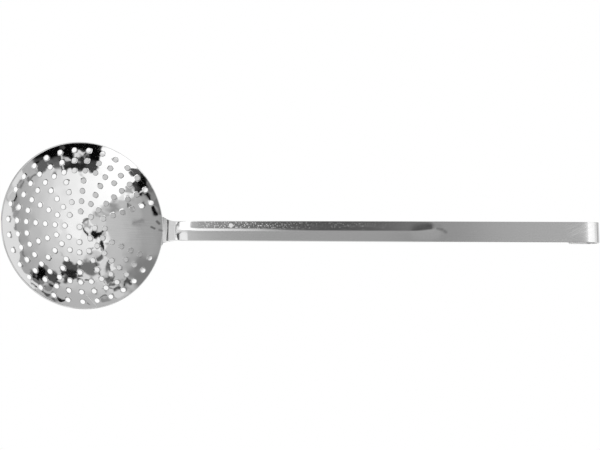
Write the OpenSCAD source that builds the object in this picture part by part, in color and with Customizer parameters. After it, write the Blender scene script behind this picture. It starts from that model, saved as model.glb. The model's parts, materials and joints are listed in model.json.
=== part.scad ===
// Kitchen skimmer: a perforated bowl spot-welded to a long strip handle with a folded hook.
// The part lies as it rests on a table. The flat tab at the neck and the folded leg of the
// hook touch the surface, and the far side of the bowl is raised. X runs along the handle
// towards the hook, Y runs across it and Z is up. The origin is at table height, under the
// middle of the part's whole length.

/* [Bowl] */
// Diameter across the rim
bowl_d = 140; // [110:1:180]
// Radius of the ball that the hollow side is part of
ball_r = 154; // [130:1:220]
// Thickness of the bowl's sheet
bowl_t = 1.2; // [0.8:0.1:2]
// Tilt of the rim against the table, in degrees
bowl_tilt = 36; // [30:0.5:45]

/* [Holes] */
// Diameter of each hole
hole_d = 4.2; // [2:0.1:5.5]
// Distance along the sheet from the middle hole to the first ring
ring_start = 13.1; // [10:0.1:18]
// Distance along the sheet from one ring to the next
ring_step = 8.7; // [7:0.1:12]
// Bare sheet between the last ring and the rim
rim_land = 4; // [2:0.5:12]
// Least distance between neighbouring holes of one ring
hole_gap = 8; // [7:0.1:12]
// Bare sheet between the tongue's edge and the nearest holes
tongue_land = 1; // [0.5:0.1:3]

/* [Tongue] */
// Width of the tongue that lies under the bowl
tongue_w = 25; // [20:0.5:32]
// Length of the tongue from the rim to its round end
tongue_len = 43; // [34:0.5:50]
// Diameter of each weld nugget
weld_d = 5; // [3:0.1:7]
// Distance along the sheet from the rim to the first pair of welds
weld_from_rim = 8; // [6:0.5:12]
// Distance between the two pairs of welds
weld_pitch = 17; // [10:0.5:20]
// Distance between the two welds of one pair
weld_span = 13; // [8:0.5:14]
// Depth of a nugget in the bowl's sheet
weld_up = 0.5; // [0.2:0.1:0.7]
// Depth of a nugget in the tongue
weld_down = 0.9; // [0.3:0.1:1.2]

/* [Neck] */
// Length of the level tab between the rim and the first bend
tab_len = 4.2; // [2:0.1:8]
// Length of the slope between the two bends, along X
crank_len = 9.6; // [6:0.1:16]
// Height that the slope gains
crank_h = 2.5; // [1:0.1:5]

/* [Handle] */
// Thickness of the handle's strip
strip_t = 2; // [1.5:0.1:3]
// Width of the strip at the neck
neck_w = 16.8; // [14:0.1:18]
// Width of the strip at the hook
strip_w = 17.7; // [16:0.1:24]
// Length of the strip from the upper bend of the neck to the hook
strip_len = 357; // [250:1:420]
// Length of the flat patch before the trough
patch_len = 6; // [3:0.5:15]
// Length of the run in which the edges rise out of the patch
rise_len = 5; // [3:0.5:10]
// Distance from the upper bend of the neck to the end of the trough
trough_end = 233; // [120:1:240]
// Depth of the trough
trough_depth = 2; // [1:0.1:2.5]
// Radius of the trough's rounded floor
trough_r = 7; // [4:0.5:12]

/* [Hook] */
// Outer radius of the slight curve that leads into the hook
lead_r = 30; // [20:1:60]
// Turn of that slight curve, in degrees
lead_turn = 12; // [6:1:20]
// Outer radius of the tight bend
hook_r = 7.5; // [6:0.1:14]
// Thickness of the strip in the tight bend, where it is drawn thinner
bend_t = 1.9; // [1.2:0.1:3]
// Straight length of the folded leg
leg_len = 18; // [10:0.5:40]
// Size of the cut corners at the leg's end
leg_corner = 2; // [0.5:0.1:5]

/* [Hidden] */
$fn = 96;
bowl_colour = [0.86, 0.87, 0.88];
handle_colour = [0.70, 0.71, 0.72];
weld_colour = [0.55, 0.54, 0.53];
// Largest turn from one point of an outline's arc to the next
arc_step = 5;
// Extra length by which a cutting shape passes the faces that it cuts
over = 1;

// The bowl's sheet is placed by angles at the centre of its ball, measured from straight
// down in the bowl's own frame. Its rim ends in a full round of half the sheet's thickness.
under_r = ball_r + bowl_t;
rim_angle = asin((bowl_d / 2 - bowl_t / 2) / (ball_r + bowl_t / 2));
rim_arc = arc_length(rim_angle);
ring_count = floor((rim_arc - rim_land - hole_d / 2 - ring_start) / ring_step) + 1;

// Where the ball's centre lies, so that the tongue meets the level tab at the rim
meet_angle = rim_angle - bowl_tilt;
ball_x = -under_r * sin(meet_angle);
ball_z = strip_t + under_r * cos(meet_angle);

// The upper bend of the neck, on the strip's top face
bend_x = tab_len + crank_len;
bend_z = strip_t + crank_h;

// The neck widens into the tongue along arcs that start at the upper bend, in line with
// the strip, and reach the tongue's full width at the rim
flare_out = (tongue_w - neck_w) / 2;
flare_r = (pow(bend_x, 2) + pow(flare_out, 2)) / (2 * flare_out);

// The trough's sides slope from the strip's edges to a rounded floor
flank = atan(trough_depth / (strip_w / 2));
round_x = trough_r * sin(flank);
flat_h = trough_depth - trough_r * (1 / cos(flank) - 1);
trough_centre = trough_end - strip_w / 2;

// The strip has a frame of its own, with its origin on the top face at the neck's upper
// bend, X along the strip and Z out of it. These are the centres of the hook's curves there.
lead_centre = [strip_len, flat_h - lead_r];
hook_centre = lead_centre + (lead_r - hook_r) * [sin(lead_turn), cos(lead_turn)];

// Rise of the strip at which the folded leg lies flat on the table, and the tight bend's
// centre is one radius above it
rise = asin((hook_r - bend_z) / norm(hook_centre)) - atan2(hook_centre[1], hook_centre[0]);
hook_x = bend_x + hook_centre[0] * cos(rise) - hook_centre[1] * sin(rise);
// Direction of the folded leg in the strip's own frame, as an angle
fold = -180 - rise;

// Middle of the whole length, which the origin lies under
far_x = ball_x - (ball_r + bowl_t / 2) * sin(rim_angle + bowl_tilt) - bowl_t / 2;
mid_x = (far_x + hook_x + hook_r) / 2;

function arc_length(angle) = ball_r * angle * PI / 180;
function arc_angle(length) = length / ball_r * 180 / PI;

// Number of holes in a ring: 8, doubled as often as the least distance allows
function holes_in(arc, count = 8) =
    2 * PI * arc / (2 * count) >= hole_gap ? holes_in(arc, 2 * count) : count;

// Whether a place on the sheet is taken by the tongue below it
function over_tongue(x, y) =
    let (end_x = rim_arc - tongue_len + tongue_w / 2,
         reach = tongue_w / 2 + tongue_land + hole_d / 2)
    x > end_x ? abs(y) < reach : norm([x - end_x, y]) < reach;

// Moves the children to a place on the ball, z pointing to the ball's centre
module on_ball(arc, turn) {
    rotate([0, -arc_angle(arc), turn]) translate([0, 0, -ball_r]) children();
}

// Moves the children from the bowl's own frame, which has its origin at the ball's centre
module in_bowl_frame() {
    translate([ball_x - mid_x, 0, ball_z]) rotate([0, bowl_tilt, 0]) children();
}

// Moves the children from the strip's own frame
module in_strip_frame() {
    translate([bend_x - mid_x, 0, bend_z]) rotate([0, -rise, 0]) children();
}

// One half of a curved sheet's cross-section, from the middle out to an angle
module sheet_half(inner_r, thickness, angle) {
    outer_r = inner_r + thickness;
    intersection() {
        difference() {
            circle(r = outer_r, $fn = 360);
            circle(r = inner_r, $fn = 360);
        }
        polygon([[0, 0], [0, -2 * outer_r], 2 * outer_r * [tan(angle), -1]]);
    }
}

module hole_pattern() {
    hole_h = 6 * bowl_t;
    on_ball(0, 0) cylinder(d = hole_d, h = hole_h, center = true);
    for (ring = [0 : ring_count - 1]) {
        arc = ring_start + ring * ring_step;
        count = holes_in(arc);
        for (i = [0 : count - 1]) {
            turn = i * 360 / count;
            if (!over_tongue(arc * cos(turn), arc * sin(turn)))
                on_ball(arc, turn) cylinder(d = hole_d, h = hole_h, center = true);
        }
    }
}

// The four places where the bowl and the tongue are melted together
module nuggets() {
    for (row = [0, 1], side = [-1, 1]) {
        arc = rim_arc - weld_from_rim - row * weld_pitch;
        turn = side * asin(weld_span / 2 / arc);
        on_ball(arc, turn) translate([0, 0, -bowl_t - weld_down])
            cylinder(d = weld_d, h = weld_up + weld_down, $fn = 48);
    }
}

module bowl() {
    color(bowl_colour) in_bowl_frame() difference() {
        rotate_extrude($fn = 180) union() {
            sheet_half(ball_r, bowl_t, rim_angle);
            translate((ball_r + bowl_t / 2) * [sin(rim_angle), -cos(rim_angle)])
                circle(d = bowl_t, $fn = 32);
        }
        hole_pattern();
        nuggets();
    }
}

module weld_nuggets() {
    color(weld_colour) in_bowl_frame() nuggets();
}

// The end of the strip that follows the underside of the bowl
module tongue() {
    end_x = under_r * sin(arc_angle(rim_arc - tongue_len + tongue_w / 2));
    intersection() {
        rotate_extrude($fn = 180) sheet_half(under_r, strip_t, rim_angle);
        translate([0, 0, -2 * ball_r]) linear_extrude(2 * ball_r) union() {
            translate([end_x, 0]) circle(d = tongue_w);
            translate([end_x, -tongue_w / 2]) square([bowl_d, tongue_w]);
        }
    }
}

// Mirrors a list of points to the other side of the X axis and closes the outline
function both_sides(points) = concat(points,
    [for (i = [len(points) - 1 : -1 : 0]) [points[i][0], -points[i][1]]]);

// A place on an arc, found by the direction in which the strip runs there
function on_arc(centre, r, angle) = centre + r * [-sin(angle), cos(angle)];

// The places along an arc from one direction to another
function arc_points(centre, r, from_angle, to_angle) =
    let (steps = ceil(abs(to_angle - from_angle) / arc_step))
    [for (i = [0 : steps]) on_arc(centre, r, from_angle + (to_angle - from_angle) * i / steps)];

// A place of the handle's side view, measured from the tongue's meeting line, in the
// strip's own frame
function in_strip(x, z) = [
    (x - bend_x) * cos(rise) + (z - bend_z) * sin(rise),
    (z - bend_z) * cos(rise) - (x - bend_x) * sin(rise)
];

// The strip's outline seen from above, from just inside the tongue to the hook
module strip_outline() {
    steps = 16;
    flare = [for (i = [0 : steps]) let (x = bend_x * (i / steps - 1))
        [x, neck_w / 2 + flare_r - sqrt(pow(flare_r, 2) - pow(x, 2))]];
    polygon(both_sides(concat([[-bend_x - strip_t, tongue_w / 2]], flare, [
        [trough_end, strip_w / 2], [strip_len + lead_r, strip_w / 2]
    ])));
}

// Cross-section of the space above the trough, its floor at height 0
module trough_section() {
    round_z = trough_r * (1 - cos(flank));
    top_x = round_x + (flat_h + over - round_z) / tan(flank);
    translate([0, trough_r]) circle(r = trough_r);
    polygon([[-round_x, round_z], [round_x, round_z], [top_x, flat_h + over],
        [-top_x, flat_h + over]]);
}

// The space above the trough's floor and sides, from the flat patch to the round end
module trough_space() {
    translate([patch_len, 0, 0]) rotate([90, 0, 90])
        linear_extrude(trough_centre - patch_len) trough_section();
    translate([trough_centre, 0, 0]) rotate_extrude() intersection() {
        trough_section();
        square(3 * strip_w);
    }
}

// Side view of one face of the sheet, from the tab to the leg's tip. Depth 0 is the top
// face, and the sheet's thickness is the face below it. The start is a distance from the
// tongue's meeting line.
function face_line(depth, start, leg) = concat(
    [in_strip(start, strip_t - depth), in_strip(tab_len, strip_t - depth), [0, -depth],
     [patch_len, -depth], [patch_len + rise_len, flat_h - depth]],
    arc_points(lead_centre, lead_r - depth, 0, -lead_turn),
    arc_points(hook_centre, hook_r - depth, -lead_turn, fold),
    [on_arc(hook_centre, hook_r - depth, fold) + leg * [cos(fold), sin(fold)]]
);

// All that lies inside a face line, less the trough's space above it
module inside_face(depth, start, leg, drop_r, width) {
    line = face_line(depth, start, leg);
    last = on_arc(hook_centre, drop_r, fold) + leg * [cos(fold), sin(fold)];
    difference() {
        rotate([90, 0, 0]) linear_extrude(width, center = true)
            polygon(concat(line, [last, [line[0][0], last[1]]]));
        translate([0, 0, -depth]) trough_space();
    }
}

// The whole strip, from the tab to the folded leg: what lies inside its top face and not
// inside its lower face, cut to the strip's outline
module strip() {
    start = -strip_t / 2;
    tip_x = hook_centre[0] - leg_len;
    difference() {
        intersection() {
            difference() {
                inside_face(0, start, leg_len + over, 2 * hook_r, 2 * tongue_w);
                inside_face(strip_t, start - over, leg_len, 3 * hook_r, 3 * tongue_w);
            }
            translate([0, 0, -strip_len]) linear_extrude(2 * strip_len) strip_outline();
        }
        for (side = [0, 1]) mirror([0, side, 0])
            translate([tip_x, strip_w / 2, hook_centre[1] - 2 * hook_r])
            linear_extrude(2 * hook_r) polygon([
                [-over, -leg_corner - over], [leg_corner + over, over], [-over, over]
            ]);
        translate([hook_centre[0], 0, hook_centre[1]]) rotate([90, 0, 0])
            cylinder(r = hook_r - bend_t, h = 2 * strip_w, center = true);
    }
}

module handle() {
    color(handle_colour) difference() {
        union() {
            in_bowl_frame() tongue();
            in_strip_frame() strip();
        }
        in_bowl_frame() nuggets();
    }
}

bowl();
handle();
weld_nuggets();
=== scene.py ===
# %% [markdown]
# # A kitchen skimmer in polished steel
# The real object is two pressed sheets of stainless steel. The bowl is a round blank,
# punched with holes, polished and pressed to a shallow ball shape. The handle is one strip:
# its spade-shaped end is spot-welded under the bowl, and its other end is folded to a hook.
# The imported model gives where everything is. It stays as it is, and finer pieces stand in
# for its solids here.

# %% Load the fixed frame
import json
from math import acos, asin, atan, ceil, cos, degrees, hypot, pi, radians, sin, sqrt, tan

import bpy
import numpy as np
from mathutils import Matrix, Vector

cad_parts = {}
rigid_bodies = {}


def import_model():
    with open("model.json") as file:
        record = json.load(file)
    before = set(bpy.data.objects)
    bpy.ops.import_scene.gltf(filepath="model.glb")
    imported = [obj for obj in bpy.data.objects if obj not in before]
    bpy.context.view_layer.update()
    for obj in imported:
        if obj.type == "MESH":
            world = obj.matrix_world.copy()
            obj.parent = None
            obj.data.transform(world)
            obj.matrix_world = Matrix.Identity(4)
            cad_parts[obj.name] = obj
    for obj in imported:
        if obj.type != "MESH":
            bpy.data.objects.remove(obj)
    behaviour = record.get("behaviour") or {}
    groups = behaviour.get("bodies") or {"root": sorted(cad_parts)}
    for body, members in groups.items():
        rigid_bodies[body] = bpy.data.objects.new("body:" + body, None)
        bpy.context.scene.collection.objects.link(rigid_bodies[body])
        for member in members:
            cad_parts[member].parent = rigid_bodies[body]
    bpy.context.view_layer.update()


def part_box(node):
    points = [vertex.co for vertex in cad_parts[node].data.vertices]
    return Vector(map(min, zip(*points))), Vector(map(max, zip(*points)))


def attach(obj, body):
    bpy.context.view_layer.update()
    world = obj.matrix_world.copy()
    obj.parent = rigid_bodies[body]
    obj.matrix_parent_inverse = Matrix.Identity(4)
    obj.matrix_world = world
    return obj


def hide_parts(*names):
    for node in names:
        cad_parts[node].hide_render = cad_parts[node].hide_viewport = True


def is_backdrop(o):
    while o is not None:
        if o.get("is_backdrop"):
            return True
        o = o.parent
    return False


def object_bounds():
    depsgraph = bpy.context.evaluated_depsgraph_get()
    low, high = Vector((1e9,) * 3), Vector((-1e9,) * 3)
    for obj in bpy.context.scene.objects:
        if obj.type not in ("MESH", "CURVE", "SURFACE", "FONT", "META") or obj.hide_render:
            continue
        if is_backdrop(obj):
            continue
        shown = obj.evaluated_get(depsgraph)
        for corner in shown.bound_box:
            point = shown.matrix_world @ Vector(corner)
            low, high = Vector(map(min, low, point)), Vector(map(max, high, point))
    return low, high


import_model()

# %% [markdown]
# The frame's nodes come in selected, and an operator acts on all that is selected. So each
# step starts with nothing selected, and a finished piece leaves nothing selected.

# %% Helpers for modelling by hand
MM = 0.001


def deselect_all():
    for thing in bpy.context.selected_objects:
        thing.select_set(False)


def make_active(thing):
    deselect_all()
    thing.select_set(True)
    bpy.context.view_layer.objects.active = thing


def edit(thing):
    """Goes into edit mode with nothing selected."""
    make_active(thing)
    bpy.ops.object.mode_set(mode="EDIT")
    bpy.ops.mesh.select_all(action="DESELECT")


def leave_edit():
    bpy.ops.object.mode_set(mode="OBJECT")


def apply_modifier(thing, kind, **settings):
    """Adds a modifier, gives it its settings and applies it."""
    make_active(thing)
    modifier = thing.modifiers.new(kind.lower(), kind)
    for name, value in settings.items():
        setattr(modifier, name, value)
    bpy.ops.object.modifier_apply(modifier=modifier.name)


def points_of(thing):
    """The piece's vertices as rows of X, Y and Z."""
    flat = np.empty(3 * len(thing.data.vertices))
    thing.data.vertices.foreach_get("co", flat)
    return flat.reshape(-1, 3)


def set_points(thing, points):
    thing.data.vertices.foreach_set("co", np.asarray(points, float).ravel())
    thing.data.update()


def triangles(thing):
    return sum(len(face.vertices) - 2 for face in thing.data.polygons)


# %% [markdown]
# ## The camera
# The photo was taken from nearly straight above, with the handle to the right. The camera
# comes first, because every later look depends on it.

# %% The photograph's camera
CAMERA_DISTANCE = 714.1 * MM
CAMERA_TARGET = Vector((-13.9, 6.4, 0.0)) * MM
CAMERA_TILT = radians(6.9)
CAMERA_ROLL = radians(0.38)
PHOTO_W = 600
FOCAL_IN_PIXELS = 805.6
SENSOR_W = 36.0

bpy.ops.object.camera_add()
camera = bpy.context.object
camera.name = "photo_camera"
camera.data.sensor_width = SENSOR_W
camera.data.lens = FOCAL_IN_PIXELS / PHOTO_W * SENSOR_W
turn = Matrix.Rotation(CAMERA_TILT, 4, "X") @ Matrix.Rotation(CAMERA_ROLL, 4, "Z")
camera.matrix_world = Matrix.Translation(CAMERA_TARGET) @ turn @ Matrix.Translation((0, 0, CAMERA_DISTANCE))
bpy.context.scene.camera = camera
bpy.context.scene.view_settings.view_transform = "Standard"
deselect_all()
print("lens, mm:", round(camera.data.lens, 2))

# %% [markdown]
# ## The bowl
# The bowl began as a flat round blank with punched holes, so it is modelled that way too.
# A hole and the metal round it make one cell, and the cells of a ring are copies of one
# cell. The rings share their borders, so the cells merge to one sheet. Then the sheet is
# pressed: each point keeps its distance along the sheet and lands on a ball.

# %% Sizes of the bowl, as in the frame
BOWL_D = 140 * MM
BALL_R = 154 * MM
BOWL_T = 1.2 * MM
BOWL_TILT = radians(36)
HOLE_D = 4.2 * MM
RING_START = 13.1 * MM
RING_STEP = 8.7 * MM
RING_COUNTS = (8, 16, 16, 16, 32, 32, 32)
STRIP_T = 2 * MM
TONGUE_W = 25 * MM
TONGUE_LEN = 43 * MM
TONGUE_LAND = 1 * MM

rim_angle = asin((BOWL_D / 2 - BOWL_T / 2) / (BALL_R + BOWL_T / 2))
rim_arc = BALL_R * rim_angle
under_r = BALL_R + BOWL_T

# The ball's centre, measured from the line at the rim where the tongue meets the level tab
meet_angle = rim_angle - BOWL_TILT
ball_x = -under_r * sin(meet_angle)
ball_z = STRIP_T + under_r * cos(meet_angle)
far_x = ball_x - (BALL_R + BOWL_T / 2) * sin(rim_angle + BOWL_TILT) - BOWL_T / 2
meet_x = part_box("bowl")[0][0] - far_x
BALL_CENTRE = Vector((ball_x + meet_x, 0, ball_z))
print("meeting line at x, mm:", round(meet_x / MM, 2))


# %% Where the holes are
def over_tongue(x, y):
    """Whether a place on the blank lies over the tongue, where no hole is punched."""
    end_x = rim_arc - TONGUE_LEN + TONGUE_W / 2
    reach = TONGUE_W / 2 + TONGUE_LAND + HOLE_D / 2
    return abs(y) < reach if x > end_x else hypot(x - end_x, y) < reach


def ring_places():
    """Each cell of each ring: its ring, its turn about the blank's middle, and if it is pierced."""
    for ring, count in enumerate(RING_COUNTS):
        arc = RING_START + ring * RING_STEP
        for i in range(count):
            angle = 2 * pi * i / count
            yield ring, angle, not over_tongue(arc * cos(angle), arc * sin(angle))


places = list(ring_places())
hole_centres = np.array([(0, 0)] + [
    ((RING_START + ring * RING_STEP) * cos(angle), (RING_START + ring * RING_STEP) * sin(angle))
    for ring, angle, pierced in places if pierced
])
print("holes:", len(hole_centres))

# %% [markdown]
# A cell starts as a circle, the hole's edge. Its edges are extruded outwards, band by band,
# and the last band takes the shape of the cell's border. A cell over the tongue has no hole,
# so its circle is filled.

# %% One cell of the blank
BORDER_STEPS = 256      # points on each circle between two rings
SIDE_STEPS = 6          # points along each radial side of a cell
BANDS = (0, 0.26, 0.38, 0.52, 0.74, 1)   # where the bands lie, from the hole's edge to the border


def cell_border(inner, outer, count):
    """The cell's border about the blank's middle, with the cell's own middle on the X axis."""
    half = pi / count
    along = BORDER_STEPS // count
    turns = [half * (2 * i / along - 1) for i in range(along)]
    rises = [i / SIDE_STEPS for i in range(SIDE_STEPS)]
    corners = [(outer, turn) for turn in turns]
    corners += [(outer + (inner - outer) * rise, half) for rise in rises]
    corners += [(inner, -turn) for turn in turns]
    corners += [(inner + (outer - inner) * rise, -half) for rise in rises]
    return np.array([(r * cos(turn), r * sin(turn)) for r, turn in corners])


def blank_cell(border, middle, pierced):
    """Extrudes a circle outwards to the border in bands."""
    count = len(border)
    fill = "NOTHING" if pierced else "TRIFAN"
    bpy.ops.mesh.primitive_circle_add(vertices=count, radius=HOLE_D / 2, fill_type=fill)
    cell = bpy.context.object
    edit(cell)
    bpy.ops.mesh.select_mode(type="EDGE")
    bpy.ops.mesh.select_non_manifold() if not pierced else bpy.ops.mesh.select_all(action="SELECT")
    for _ in BANDS[1:]:
        bpy.ops.mesh.extrude_region_move()
        bpy.ops.transform.resize(value=(1.3, 1.3, 1))
    leave_edit()
    ray = border - middle
    edge = ray / np.linalg.norm(ray, axis=1)[:, None] * HOLE_D / 2
    points = points_of(cell)
    start = len(points) - count * len(BANDS)
    for band, share in enumerate(BANDS):
        first = start + band * count
        points[first:first + count, :2] = middle + edge + (ray - edge) * share
    if not pierced:
        hub = 0 if start == 1 else None
        points[hub, :2] = middle
    set_points(cell, points)
    return cell


# %% All the cells of the blank
def copy_turned(thing, angle):
    """A copy with its own mesh, turned about the blank's middle."""
    twin = thing.copy()
    twin.data = thing.data.copy()
    twin.data.transform(Matrix.Rotation(angle, 4, "Z"))
    bpy.context.scene.collection.objects.link(twin)
    return twin


def make_cells():
    first_border = RING_START - RING_STEP / 2
    circle = [first_border * np.array((cos(2 * pi * i / BORDER_STEPS), sin(2 * pi * i / BORDER_STEPS)))
              for i in range(BORDER_STEPS)]
    cells = [blank_cell(np.array(circle), np.zeros(2), True)]
    models = {}
    for ring, angle, pierced in places:
        if (ring, pierced) not in models:
            arc = RING_START + ring * RING_STEP
            border = cell_border(arc - RING_STEP / 2, arc + RING_STEP / 2, RING_COUNTS[ring])
            models[ring, pierced] = blank_cell(border, np.array((arc, 0.0)), pierced)
        cells.append(copy_turned(models[ring, pierced], angle))
    for model in models.values():
        bpy.data.objects.remove(model)
    return cells


cells = make_cells()
deselect_all()
for cell in cells:
    cell.select_set(True)
bpy.context.view_layer.objects.active = cells[0]
bpy.ops.object.join()
bowl = bpy.context.object
bowl.name = bowl.data.name = "bowl_sheet"
print("points before merging:", len(bowl.data.vertices))

# %% [markdown]
# The last ring's border is not yet the rim. Its outer edge is extruded in two more bands,
# and then the cells are merged.

# %% Merge the cells and add the rim's land
MERGE_GAP = 0.01 * MM
blank_r = rim_arc + 0.4 * MM
last_border = RING_START + (len(RING_COUNTS) - 0.5) * RING_STEP


def select_vertices(thing, wanted):
    """Selects vertices in object mode by a test of their place."""
    for vertex in thing.data.vertices:
        vertex.select = bool(wanted(vertex.co))


edit(bowl)
bpy.ops.mesh.select_mode(type="VERT")
bpy.ops.mesh.select_all(action="SELECT")
bpy.ops.mesh.remove_doubles(threshold=MERGE_GAP)
bpy.ops.mesh.select_all(action="DESELECT")
leave_edit()
select_vertices(bowl, lambda co: co.xy.length > last_border - MERGE_GAP)
bpy.ops.object.mode_set(mode="EDIT")
bpy.ops.mesh.select_mode(type="EDGE")
for band_r in (last_border + 0.6 * (blank_r - last_border), blank_r):
    bpy.ops.mesh.extrude_region_move()
    bpy.ops.transform.resize(value=(1.01, 1.01, 1))
leave_edit()
points = points_of(bowl)
radius = np.hypot(points[:, 0], points[:, 1])
for low, band_r in ((1.005, last_border + 0.6 * (blank_r - last_border)), (1.015, blank_r)):
    ring = (radius > last_border * low) & (radius < last_border * (low + 0.01))
    points[ring, :2] *= (band_r / radius[ring])[:, None]
set_points(bowl, points)


def face_upwards(thing):
    """Turns all faces of a sheet the same way, and that way up."""
    edit(thing)
    bpy.ops.mesh.select_all(action="SELECT")
    bpy.ops.mesh.normals_make_consistent(inside=False)
    leave_edit()
    if sum(face.normal.z for face in thing.data.polygons) < 0:
        edit(thing)
        bpy.ops.mesh.select_all(action="SELECT")
        bpy.ops.mesh.flip_normals()
        leave_edit()


face_upwards(bowl)
print("points of the blank:", len(points), "faces:", len(bowl.data.polygons))

# %% [markdown]
# Round each hole the sheet is pulled down a little, as a punch leaves it. These shallow
# dimples bend the reflections, so that no two holes show the same thing.

# %% Press the blank onto the ball
DIMPLE_DEPTH = 0.055 * MM
DIMPLE_REACH = 2 * MM
tilt = Matrix.Rotation(BOWL_TILT, 3, "Y")


def on_ball(x, y, radius):
    """Where a place on the blank comes to lie on a ball of some radius."""
    arc, turn = np.hypot(x, y), np.arctan2(y, x)
    angle = arc / BALL_R
    local = np.stack([np.sin(angle) * np.cos(turn), np.sin(angle) * np.sin(turn), -np.cos(angle)], -1)
    return np.array(BALL_CENTRE) + radius[..., None] * (local @ np.array(tilt).T)


dice = np.random.default_rng(7)
hole_depths = DIMPLE_DEPTH * dice.uniform(0.5, 1.6, len(hole_centres))


def dimple(x, y):
    """Depth of the dimples at a place on the blank."""
    depth = np.zeros(len(x))
    for (hole_x, hole_y), deep in zip(hole_centres, hole_depths):
        gap = np.maximum(np.hypot(x - hole_x, y - hole_y) - HOLE_D / 2, 0)
        depth += deep * np.exp(-gap / DIMPLE_REACH)
    return depth


WAVE_DEPTH = 0.03 * MM
WAVE_LENGTH = 17 * MM
wave_ways = [(cos(turn), sin(turn), phase, 2 * pi / (WAVE_LENGTH * size))
             for turn, phase, size in zip(dice.uniform(0, 2 * pi, 14), dice.uniform(0, 2 * pi, 14), dice.uniform(0.6, 1.5, 14))]


def waves(x, y):
    """Slow waves of the hand-pressed sheet."""
    return sum(WAVE_DEPTH / 4 * np.sin((x * c + y * s) * k + phase) for c, s, phase, k in wave_ways)


def keep_blank(thing):
    """Keeps the flat places of the blank with the mesh, for the materials."""
    layer = thing.data.attributes.new("blank", "FLOAT_VECTOR", "POINT")
    layer.data.foreach_set("vector", points_of(thing).ravel())


keep_blank(bowl)
points = points_of(bowl)
x, y = points[:, 0], points[:, 1]
set_points(bowl, on_ball(x, y, BALL_R + dimple(x, y) + waves(x, y)))
apply_modifier(bowl, "SOLIDIFY", thickness=BOWL_T, offset=-1, use_even_offset=True)


def soften_edges(thing, width, share_at, segments):
    """Bevels the sharp edges of a sheet, each by its own share of the width."""
    mesh = thing.data
    blank = np.empty(3 * len(mesh.vertices))
    mesh.attributes["blank"].data.foreach_get("vector", blank)
    blank = blank.reshape(-1, 3)
    faces_at = {}
    for face in mesh.polygons:
        for key in face.edge_keys:
            faces_at.setdefault(key, []).append(face.normal)
    weights = np.zeros(len(mesh.edges))
    for edge in mesh.edges:
        normals = faces_at[tuple(sorted(edge.vertices))]
        if len(normals) == 2 and normals[0].dot(normals[1]) < cos(radians(50)):
            weights[edge.index] = share_at(*blank[edge.vertices[0], :2])
    mesh.attributes.new("bevel_weight_edge", "FLOAT", "EDGE").data.foreach_set("value", weights)
    apply_modifier(thing, "BEVEL", width=width, segments=segments, limit_method="WEIGHT")


RIM_ROUND = 0.5 * MM
HOLE_ROUND = 0.42 * MM
soften_edges(bowl, RIM_ROUND, lambda x, y: 1 if hypot(x, y) > rim_arc else HOLE_ROUND / RIM_ROUND, 3)
bpy.ops.object.shade_smooth_by_angle(angle=radians(40))


def mark_lips(thing):
    """Marks how near each point is to a hole's edge, for the material's roughness and painted shade there."""
    blank = np.empty(3 * len(thing.data.vertices))
    thing.data.attributes["blank"].data.foreach_get("vector", blank)
    blank = blank.reshape(-1, 3)
    nearest = np.full(len(blank), 1.0)
    for hole_x, hole_y in hole_centres:
        nearest = np.minimum(nearest, np.hypot(blank[:, 0] - hole_x, blank[:, 1] - hole_y))
    lip = np.clip(1 - (nearest - HOLE_D / 2) / HOLE_ROUND, 0, 1)
    thing.data.attributes.new("lip", "FLOAT", "POINT").data.foreach_set("value", lip)


mark_lips(bowl)
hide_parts("bowl")
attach(bowl, "root")
deselect_all()
print("bowl triangles:", triangles(bowl))

# %% [markdown]
# ## The handle
# The strip is modelled in the order in which it was made. A flat blank is cut to its
# outline, with the spade-shaped tongue at one end. Then it is pressed: the tongue takes the
# bowl's ball shape, the neck steps up, the grip gets its trough and the end is folded.

# %% Sizes of the handle, as in the frame
TAB_LEN = 4.2 * MM
CRANK_LEN = 9.6 * MM
CRANK_H = 2.5 * MM
NECK_W = 16.8 * MM
STRIP_W = 17.7 * MM
STRIP_LEN = 357 * MM
PATCH_LEN = 6 * MM
RISE_LEN = 5 * MM
TROUGH_END = 233 * MM
TROUGH_DEPTH = 2 * MM
TROUGH_R = 7 * MM
LEAD_R = 30 * MM
LEAD_TURN = radians(12)
HOOK_R = 7.5 * MM
LEG_LEN = 18 * MM
LEG_CORNER = 2 * MM
FLOOR_R = 13 * MM       # the trough's floor is rounder than the frame's plain solid
NEAR_FLARE = 0.5        # on the near side the neck widens less, as the real blank was cut
FOLD_RADII = (5 * MM, 11 * MM, 6 * MM)   # of the folds of the neck, on the top face

bend_x = TAB_LEN + CRANK_LEN
bend_z = STRIP_T + CRANK_H
flare_out = (TONGUE_W - NECK_W) / 2
flare_r = (bend_x ** 2 + flare_out ** 2) / (2 * flare_out)
flank = atan(TROUGH_DEPTH / (STRIP_W / 2))
flat_h = TROUGH_DEPTH - TROUGH_R * (1 / cos(flank) - 1)
trough_centre = TROUGH_END - STRIP_W / 2

# The strip rises so much that the folded leg lies flat on the table
hook_centre = np.array([STRIP_LEN, flat_h - LEAD_R]) + (LEAD_R - HOOK_R) * np.array([sin(LEAD_TURN), cos(LEAD_TURN)])
strip_rise = asin((HOOK_R - bend_z) / hypot(*hook_centre)) - np.arctan2(hook_centre[1], hook_centre[0])
print("the strip rises by, degrees:", round(degrees(strip_rise), 3))


# %% The strip seen from the side
BLEND_LEN = 5 * MM      # length over which the tongue's ball shape goes over to the flat tab


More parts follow.
